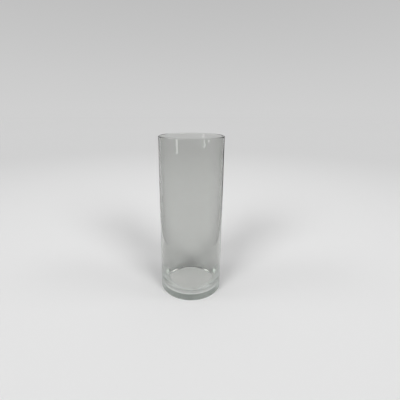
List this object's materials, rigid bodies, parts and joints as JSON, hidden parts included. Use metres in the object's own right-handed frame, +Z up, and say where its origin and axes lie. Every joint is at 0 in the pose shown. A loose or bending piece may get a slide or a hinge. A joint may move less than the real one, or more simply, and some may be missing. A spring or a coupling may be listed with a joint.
{
  "type": "glass cylinder vase",
  "caption": "Tall straight-sided clear glass cylinder vase with a heavy flat base that thickens from the wall in a smooth sweep, a shallow push-up underneath and a rounded fire-polished rim.",
  "frame": {"origin": "centre of the plane that the vase stands on", "axes": "+Z up along the vase's axis; the vase is round, so +X and +Y are any two directions across it"},
  "size_m": [0.15, 0.15, 0.38],
  "materials": {
    "clear_glass": "clear soda-lime glass with a faint grey-green tint, blown smooth, fire-polished at the rim"
  },
  "bodies": {
    "root": {"heavy_base": "clear_glass", "cylinder_wall": "clear_glass", "fire_polished_rim": "clear_glass"}
  },
  "joints": []
}
